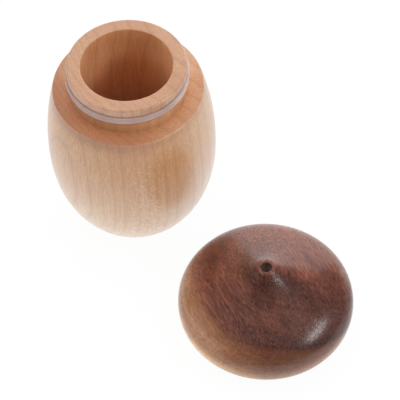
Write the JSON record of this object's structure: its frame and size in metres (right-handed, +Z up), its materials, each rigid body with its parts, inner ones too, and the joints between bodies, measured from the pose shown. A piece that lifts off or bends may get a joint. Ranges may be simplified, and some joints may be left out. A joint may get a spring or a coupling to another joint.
{
  "type": "toothpick dispenser",
  "caption": "Turned wooden toothpick dispenser: a barrel-shaped maple container with a soft seal ring round its neck, and its domed walnut lid, with a small hole in its point, set beside it.",
  "frame": {"origin": "centre of the container's flat foot, on the surface that the container and the lid stand on", "axes": "+Z up along the container's axis, +X to the right and -Y to the front, where the lid stands in front of the container and to its right"},
  "size_m": [0.0959, 0.1038, 0.067],
  "materials": {
    "maple": "light maple under a satin clear lacquer",
    "silicone": "matt translucent grey silicone",
    "walnut": "dark walnut with a paler band of sapwood, under a satin clear lacquer"
  },
  "bodies": {
    "container": {"container": "maple", "seal_ring": "silicone"},
    "lid": {"lid": "walnut"}
  },
  "joints": [
    {"name": "lid_lift", "type": "slide", "parent": "container", "child": "lid", "axis": [0, 0, 1], "range_m": [0, 0.075]}
  ]
}
